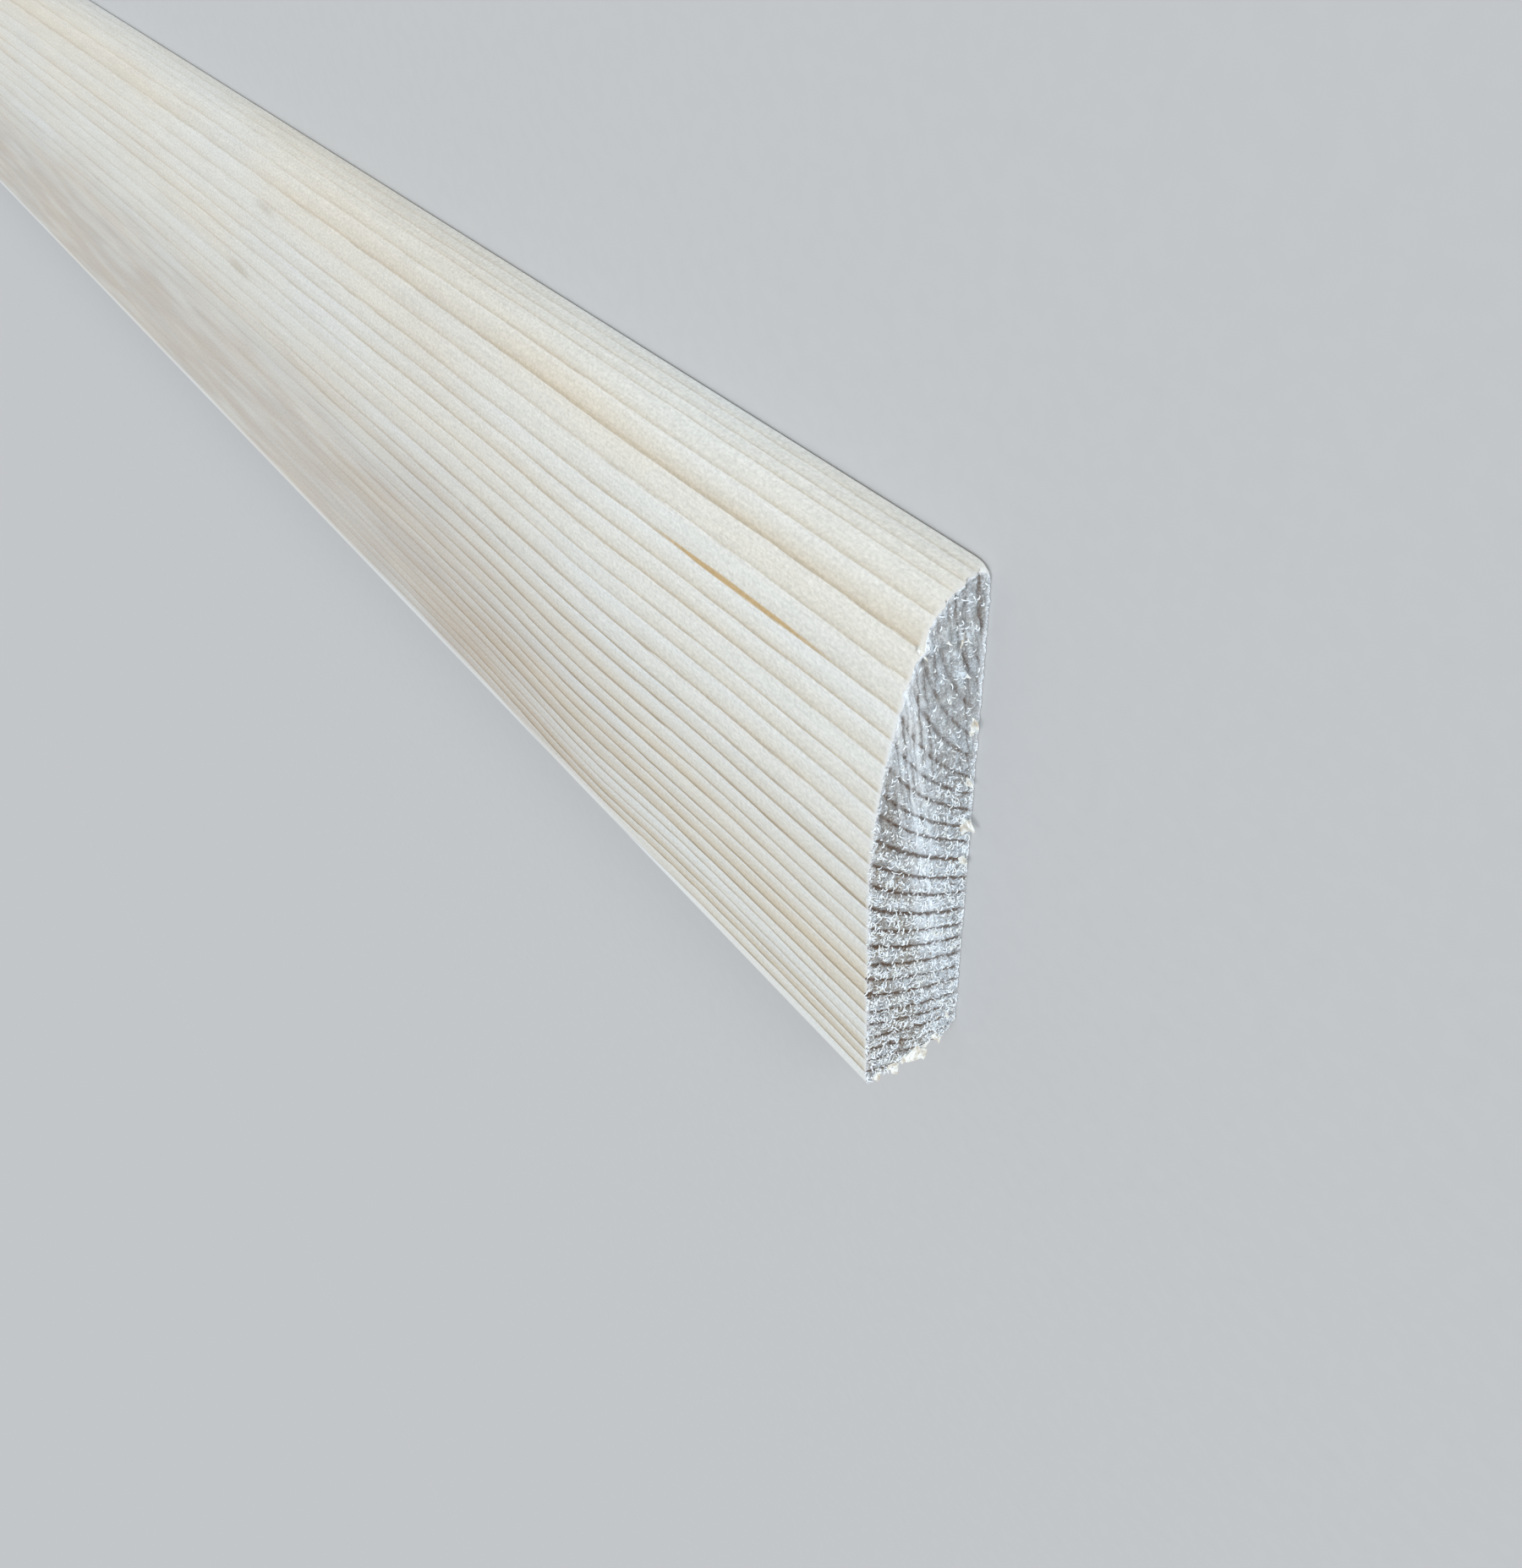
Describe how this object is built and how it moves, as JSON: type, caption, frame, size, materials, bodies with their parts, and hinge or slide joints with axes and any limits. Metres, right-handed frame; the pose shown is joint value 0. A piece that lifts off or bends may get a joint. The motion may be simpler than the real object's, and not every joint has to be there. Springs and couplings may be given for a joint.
{
  "type": "moulded timber plank",
  "caption": "Long planed softwood plank, flat on the back, whose face rounds over to one long edge; the other edge is square and the ends are sawn. Used as skirting, casing or trim stock.",
  "frame": {"origin": "middle of the back's box, on the level surface that the plank lies on", "axes": "+X along the length, towards the sawn end that shows its end grain; +Y across the width, towards the rounded edge; +Z out of the face"},
  "size_m": [1.8, 0.058, 0.012],
  "materials": {
    "pine": "planed faces and rough sawn ends"
  },
  "bodies": {
    "root": {"plank": "pine"}
  },
  "joints": []
}
